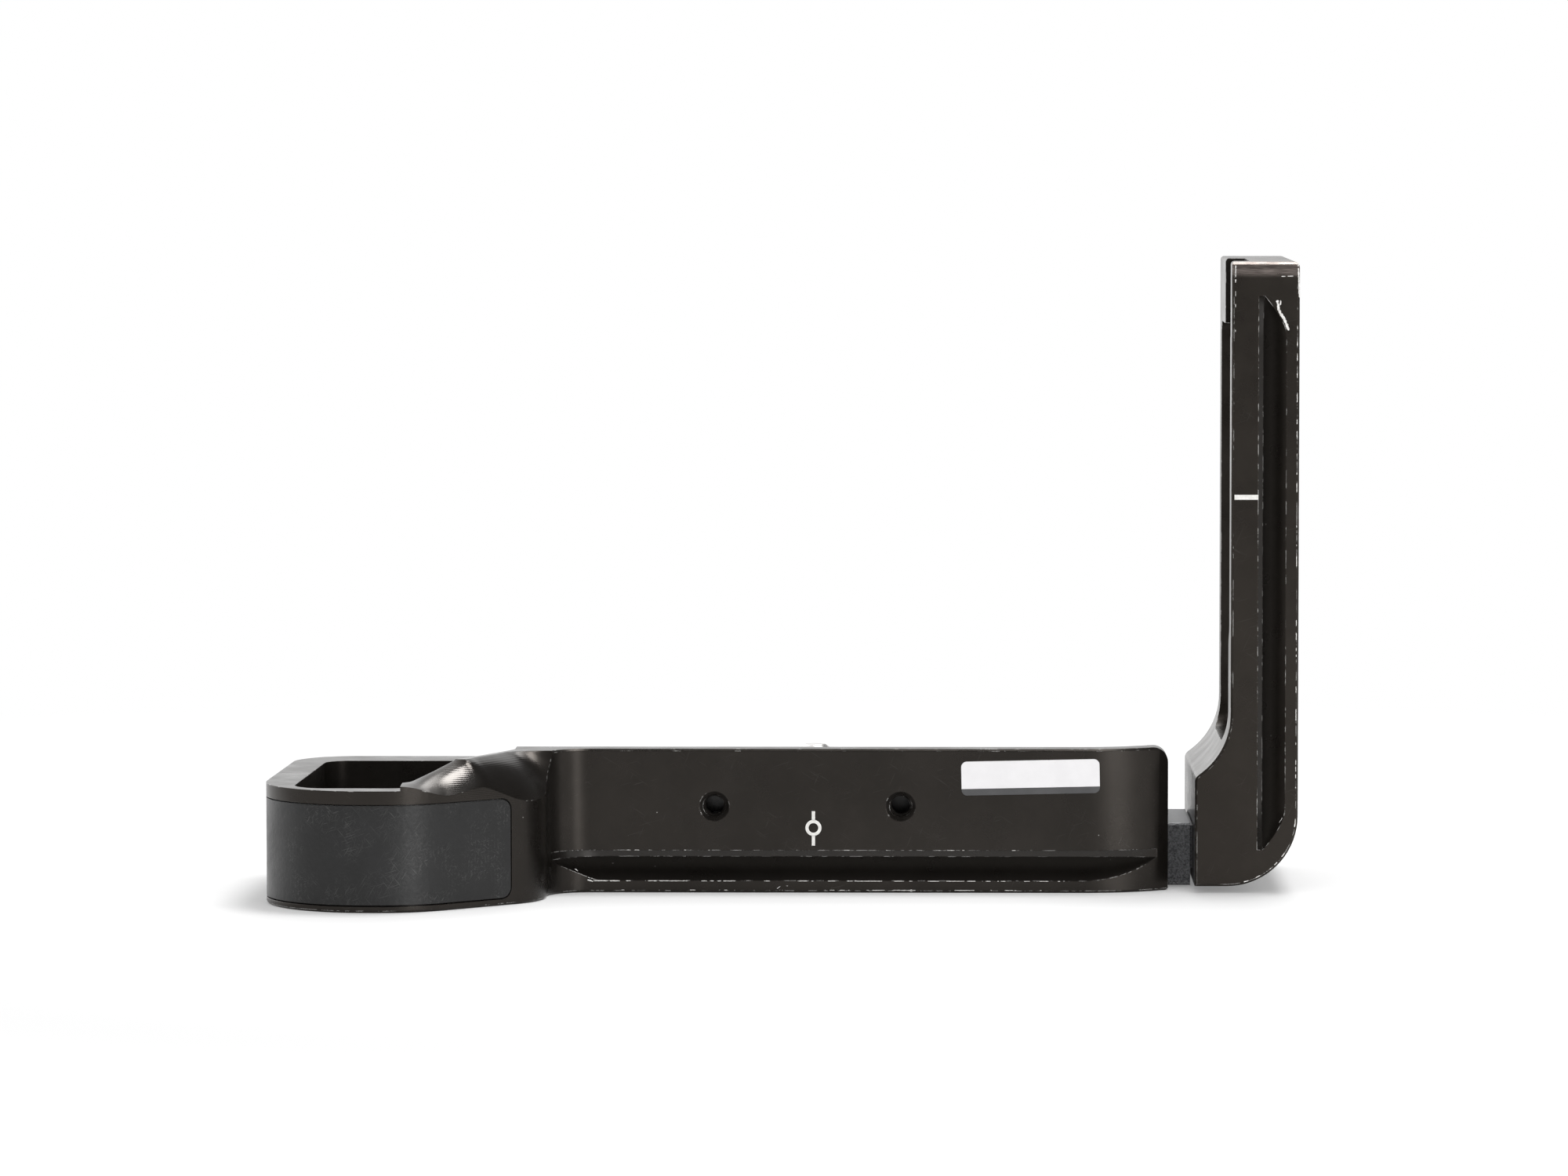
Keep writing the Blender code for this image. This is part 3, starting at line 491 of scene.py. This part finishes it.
def add_camera_screw(steel):
    """The captive camera screw with its thread, knurled head and hexagon socket."""
    low, head_top, neck_top, thread_low, tip_start, tip = 1.8, 5.2, 11.4, 12.1, 18.4, 19.7
    rim, shoulder, head, groove, teeth, neck, blunt, tip_radius = 5.7, 5.9, 6.2, 0.22, 48, 2.45, 1.5, 0.9
    major, minor, pitch, sides, rows = 3.175, 2.65, 1.27, 144, 48
    key, key_depth, key_end, rounding, knurl_end = 2.0, 2.2, 0.3, 0.3, 0.5
    turns = [2 * math.pi * i / sides for i in range(sides)]

    def ring(radius, z):
        values = [radius(a, z) if callable(radius) else radius for a in turns]
        return [(AXIS_X + r * math.cos(a), SCREW_Y + r * math.sin(a), z)
                for a, r in zip(turns, values)]

    def hexagon(a, z):
        return key / math.cos((a % (math.pi / 3)) - math.pi / 6)

    def knurl(a, z):
        return head - groove * abs(math.sin(a * teeth / 2))

    def thread(a, z):
        """Ridge of the thread, which grows over its first turn and is cut away at the tip."""
        phase = (z / pitch - a / (2 * math.pi)) % 1
        grown = min(1.0, (z - thread_low) / pitch + 0.25)
        ridge = minor + (major - minor) * min(1.0, abs(phase - 0.5) * 2.4) * grown
        limit = major - max(0.0, z - tip_start) * (major - blunt) / (tip - tip_start)
        return min(ridge, limit)

    loops = [ring(key_end, low + key_depth + rounding), ring(hexagon, low + key_depth),
             ring(hexagon, low), ring(rim, low), ring(shoulder, low + rounding),
             ring(knurl, low + knurl_end), ring(knurl, head_top - knurl_end),
             ring(shoulder, head_top - rounding), ring(rim, head_top), ring(neck, head_top),
             ring(neck, neck_top), ring(minor, thread_low)]
    loops += [ring(thread, thread_low + (tip - thread_low) * (i + 1) / rows) for i in range(rows)]
    loops.append(ring(tip_radius, tip))
    bm = bmesh.new()
    solid_between(bm, loops)
    screw = new_piece("captive_screw", bm, [steel], "screw")
    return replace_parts(screw, "camera_screw")


def arc_points(centre_x, centre_z, radius, start, end, steps=24):
    """Points of an arc, with its angles in degrees from +X."""
    turns = [math.radians(start + (end - start) * i / steps) for i in range(steps + 1)]
    return [(centre_x + radius * math.cos(a), centre_z + radius * math.sin(a)) for a in turns]


def add_flakes(name, strokes, body, bare, seed):
    """Places on the front face where the finish has come off, as thin uneven flakes.

    A stroke is its points, the widest half width and the share of it that is bare. Bare runs
    start and go on at random, both more likely with a larger share.
    """
    spacing, going_on, starting, end_width, narrowest = 0.12, 0.85, 0.15, 0.35, 0.4
    chance = random.Random(seed)
    bm = bmesh.new()
    for points, half_width, share in strokes:
        path = []
        for (x0, z0), (x1, z1) in zip(points, points[1:]):
            count = max(2, int(math.hypot(x1 - x0, z1 - z0) / spacing))
            path += [(x0 + (x1 - x0) * i / count, z0 + (z1 - z0) * i / count) for i in range(count)]
        path.append(points[-1])
        runs, run = [], []
        for point in path:
            likely = max(going_on, share) if run else starting * share / (1.001 - share)
            if chance.random() < likely:
                run.append(point)
            else:
                runs.append(run)
                run = []
        runs.append(run)
        for run in runs:
            if len(run) < 2:
                continue
            sections = []
            for i, (x, z) in enumerate(run):
                x0, z0 = run[max(0, i - 1)]
                x1, z1 = run[min(len(run) - 1, i + 1)]
                length = math.hypot(x1 - x0, z1 - z0)
                across = ((z0 - z1) / length, (x1 - x0) / length)
                thin = end_width if i in (0, len(run) - 1) else 1.0
                left, right = (half_width * thin * chance.uniform(narrowest, 1.0) for _ in range(2))
                edges = [(x + across[0] * left, z + across[1] * left),
                         (x - across[0] * right, z - across[1] * right)]
                sections.append([*on_front(edges, LIFT), *on_front(edges[::-1], -LIFT)])
            solid_between(bm, sections)
    return new_piece(name, bm, [bare], body)


# Floor, light and camera

def add_floor():
    """Pale floor. The camera, reflections and glass see it white from some way off.

    Near the bracket it glows less and scatters light, so that it shows the shadow.
    """
    near_glow, far_glow, near_radius, far_radius = 0.21, 1.0, 0.1, 0.32
    mesh = bpy.data.meshes.new("floor")
    side, ahead, behind = 1.2, -0.8, 1.2
    corners = [(-side, ahead, 0), (side, ahead, 0), (side, behind, 0), (-side, behind, 0)]
    mesh.from_pydata(corners, [], [(0, 1, 2, 3)])
    floor = bpy.data.objects.new("floor", mesh)
    bpy.context.scene.collection.objects.link(floor)
    material, shader, t = new_material("floor", Roughness=0.9, Specular_IOR_Level=0.0,
                                       Emission_Color=(1, 1, 1, 1))
    rays = t.tree.nodes.new("ShaderNodeLightPath")
    seen = t.larger(rays.outputs["Is Camera Ray"], rays.outputs["Is Glossy Ray"])
    seen = t.larger(seen, rays.outputs["Is Transmission Ray"])
    where = t.place()
    plain = t.mix(t.noise(where, 3.0, 2.0), (0.80, 0.80, 0.80, 1), (0.82, 0.82, 0.82, 1))
    away = t.add("VectorMath", {0: where}, out="Value", operation="LENGTH")
    far = t.times(seen, t.band(away, near_radius, far_radius))
    glow = t.band(far, 0.0, 1.0, near_glow, far_glow)
    colour = t.mix(seen, plain, t.mix(far, (0.66, 0.66, 0.66, 1), (0, 0, 0, 1)))
    connect(material, shader, Base_Color=colour, Emission_Strength=t.times(seen, glow))
    mesh.materials.append(material)


def add_light(name, place, size, power):
    """Round area lamp that shines at the middle of the bracket."""
    aim = Vector((0, 0, 0.03))
    data = bpy.data.lights.new(name, "AREA")
    data.shape = "DISK"
    data.energy = power
    data.size = size
    lamp = bpy.data.objects.new(name, data)
    lamp.location = place
    lamp.rotation_euler = (aim - Vector(place)).to_track_quat("-Z", "Y").to_euler()
    bpy.context.scene.collection.objects.link(lamp)


def add_world():
    """White for the camera and through glass, a room for reflections, and plain light otherwise.

    The room is white behind the bracket and dim in front of it, also at the right, where the dim
    part leans back. It is brighter at the left, in place of a lamp, and half bright at the far
    right.
    """
    plain, front, behind, left, far_right, lean = 0.7, 0.16, 1.0, 2.2, 0.55, 2.2
    world = bpy.data.worlds.new("world")
    bpy.context.scene.world = world
    world.use_nodes = True
    t = Tree(world.node_tree)
    t.tree.nodes.clear()
    rays = t.tree.nodes.new("ShaderNodeLightPath")
    way = t.add("TexCoord", {}, out="Generated")
    across, back = t.coordinate(way, "X"), t.coordinate(way, "Y")
    dim_side = t.times(t.larger(across, 0.0), lean)
    room = t.band(t.math("SUBTRACT", back, dim_side), 0.0, 0.28, front, behind)
    room = t.times(room, t.band(across, 0.1, -0.6, 1.0, left))
    room = t.larger(room, t.band(across, 0.7, 0.95, front, far_right))
    light, gloss, white = (t.add("Background", {"Color": (1, 1, 1, 1), "Strength": strength})
                           for strength in (plain, room, 1.0))
    shown = t.add("MixShader", {0: rays.outputs["Is Glossy Ray"], 1: light, 2: gloss})
    seen = t.larger(rays.outputs["Is Camera Ray"], rays.outputs["Is Transmission Ray"])
    shown = t.add("MixShader", {0: seen, 1: shown, 2: white})
    t.tree.links.new(shown, t.tree.nodes.new("ShaderNodeOutputWorld").inputs["Surface"])


def add_camera():
    """The photograph's camera. Its focal length and shift are in pixels of the photograph."""
    photo_width, focal_length, shift, sensor = 2000, 8864.23, -35.0, 36
    place = Vector((0.0184966, -0.9967476, 0.1127192))
    yaw, pitch, roll = -0.0188034, 0.0654918, -0.00076
    right = Vector((math.cos(yaw), -math.sin(yaw), 0.0))
    ahead = Vector((math.sin(yaw), math.cos(yaw), 0.0))
    up = Vector((0.0, 0.0, 1.0))
    forward = ahead * math.cos(pitch) - up * math.sin(pitch)
    top = up * math.cos(pitch) + ahead * math.sin(pitch)
    side = right * math.cos(roll) + top * math.sin(roll)
    over = top * math.cos(roll) - right * math.sin(roll)
    data = bpy.data.cameras.new("camera")
    data.lens = focal_length * sensor / photo_width
    data.sensor_width = sensor
    data.shift_y = shift / photo_width
    data.clip_start = 0.05
    data.clip_end = 20
    camera = bpy.data.objects.new("camera", data)
    bpy.context.scene.collection.objects.link(camera)
    basis = Matrix((side, over, -forward)).transposed().to_4x4()
    camera.matrix_world = Matrix.Translation(place) @ basis
    bpy.context.scene.camera = camera


def main():
    plate_finish = anodised("anodised_plate", (0.025, 0.0217, 0.0187, 1), (0.0315, 0.0273, 0.0237, 1),
                            0.07, swoop=True)
    upright_finish = anodised("anodised_upright", (0.028, 0.0236, 0.0198, 1),
                              (0.035, 0.0297, 0.025, 1), 0.12, swoop=False)
    steel = metal("steel_finish", (0.50, 0.49, 0.48, 1), (0.64, 0.63, 0.62, 1), 1.0, 0.24, 900.0)
    bare = metal("bare_aluminium", (0.66, 0.64, 0.61, 1), (0.92, 0.91, 0.9, 1), 0.4, 0.45, 2500.0)
    nylon = smooth("nylon_finish", (0.012, 0.012, 0.013, 1), (0.02, 0.02, 0.021, 1), 0.42, 700.0, 1e-5)
    film = smooth("label_film", (0.78, 0.77, 0.78, 1), (0.81, 0.80, 0.81, 1), 0.35, 400.0, 4e-6)
    band = smooth("label_band", (0.060, 0.060, 0.062, 1), (0.072, 0.072, 0.074, 1), 0.35, 400.0, 4e-6)
    paint = smooth("mark_paint", (0.70, 0.69, 0.66, 1), (0.84, 0.83, 0.80, 1), 0.5, 2200.0, 1e-5)
    finishes = {"base_plate": plate_finish, "upright": upright_finish, "slide_bar": blasted(),
                "grip_pad": rubber(), "camera_screw_washer": nylon}
    group = smoothing_group()
    for name, node in nodes.items():
        dress(node, finishes.get(name, steel), group)

    add_label(film, band)
    add_axis_mark(paint)
    add_index_mark(paint)
    add_hole_threads(plate_finish)
    add_camera_screw(steel)
    add_flakes("plate_wear", [
        ([(-30.2, 3.4), (-29.4, 2.6), (-28.6, 2.1), (-27.4, 1.8)], 0.16, 0.97),
        ([(-28.6, 2.0), (-27.4, 1.75)], 0.3, 1.0),
        ([(-27.4, 1.72), (-23.7, 1.7)], 0.09, 0.8),
        ([(-23.7, 1.7), (40.0, 1.7)], 0.055, 0.45),
        ([(-27.0, 6.14), (40.0, 6.14)], 0.04, 0.12),
        ([(-27.0, 0.38), (39.0, 0.38)], 0.05, 0.35),
        ([(17.9, 0.35), (18.3, 0.35)], 0.2, 1.0),
        ([(-1.3, 0.5), (-0.6, 1.0), (0.4, 1.0), (1.2, 0.7)], 0.05, 0.7),
    ], "base", bare, 3)
    add_flakes("upright_wear", [
        ([(70.12, 84.9), (70.3, 83.9), (70.5, 83.1), (71.0, 82.4), (71.45, 81.5), (71.75, 80.6)],
         0.25, 1.0),
        ([(70.6, 84.9), (70.58, 84.2)], 0.13, 1.0),
        ([(70.7, 88.3), (72.4, 88.35)], 0.07, 0.9),
        ([(73.1, 90.1), (73.2, 87.5), (73.27, 85.3)], 0.13, 0.97),
        ([(64.2, 89.9), (64.2, 87.4)], 0.08, 0.9),
        ([(64.2, 87.4), (64.2, 80.0)], 0.05, 0.3),
        ([(73.02, 85.0), (73.02, 11.5)], 0.06, 0.3),
        (arc_points(63.25, 11.1, 9.75, 0, -85), 0.08, 0.4),
        ([(71.4, 11.3), (68.6, 6.9)], 0.03, 0.3),
    ], "arm", bare, 5)

    add_floor()
    add_world()
    add_light("overhead", (0.24, 0.16, 1.07), 0.42, 6.5)
    add_light("overhead_back", (0.12, 0.72, 0.95), 0.5, 2.9)
    add_light("front_right", (0.63, -1.0, 0.17), 0.45, 4.2)
    add_light("front_left", (-0.5, -1.05, 0.6), 0.5, 1.0)
    add_camera()
    bpy.context.scene.view_settings.view_transform = "Standard"


main()
